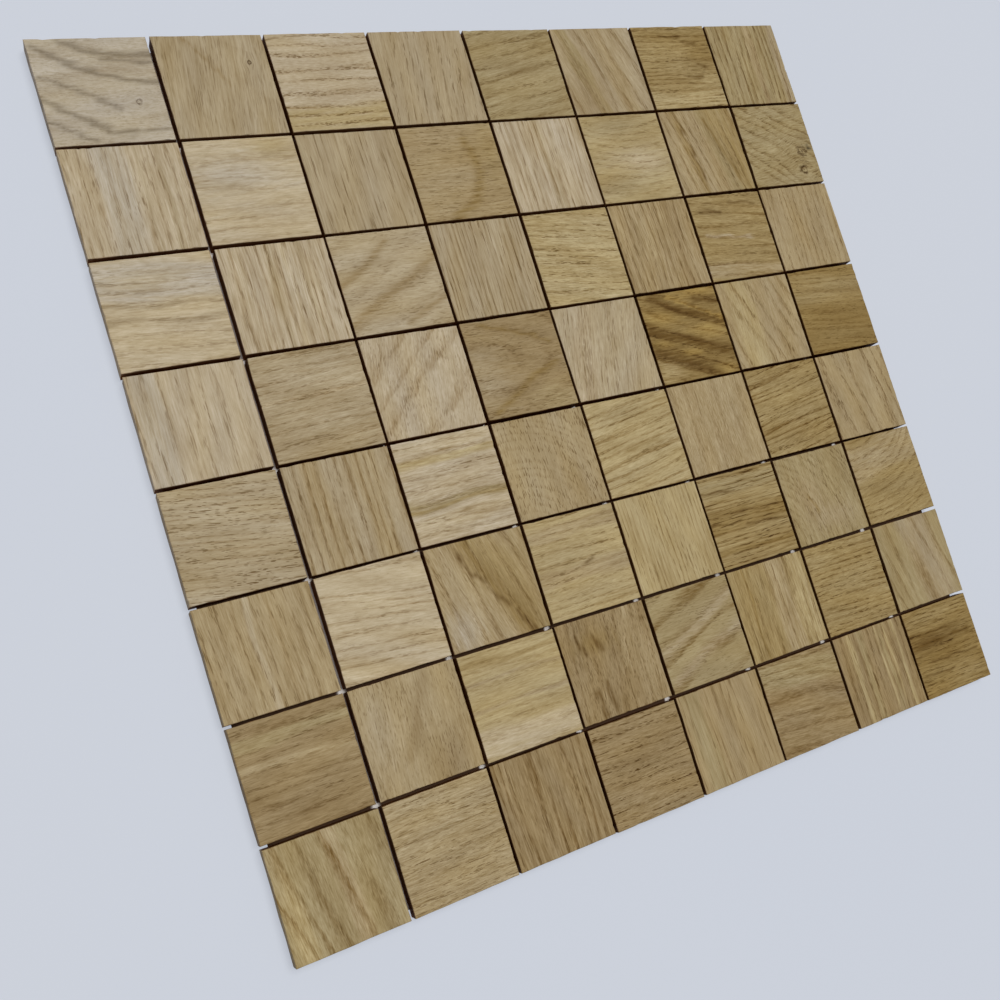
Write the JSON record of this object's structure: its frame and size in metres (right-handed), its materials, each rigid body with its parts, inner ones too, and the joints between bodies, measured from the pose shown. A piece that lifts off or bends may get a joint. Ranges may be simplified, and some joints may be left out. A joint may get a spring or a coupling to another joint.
{
  "type": "wood mosaic tile",
  "caption": "Square mosaic tile of small solid oak chips laid with alternating grain on a thin backing sheet, for covering walls and other flat surfaces.",
  "frame": {"origin": "middle of the back face, on the surface that the tile lies on", "axes": "+X along a row of chips, +Y towards the first row, +Z out of the wood face"},
  "size_m": [0.299, 0.299, 0.006],
  "materials": {
    "oak": "fine sanded, unvarnished, satin",
    "backing": "white bonded fleece, matte"
  },
  "bodies": {
    "root": {"chip_row_1": "oak", "chip_row_2": "oak", "chip_row_3": "oak", "chip_row_4": "oak", "chip_row_5": "oak", "chip_row_6": "oak", "chip_row_7": "oak", "chip_row_8": "oak", "backing_sheet": "backing"}
  },
  "joints": []
}
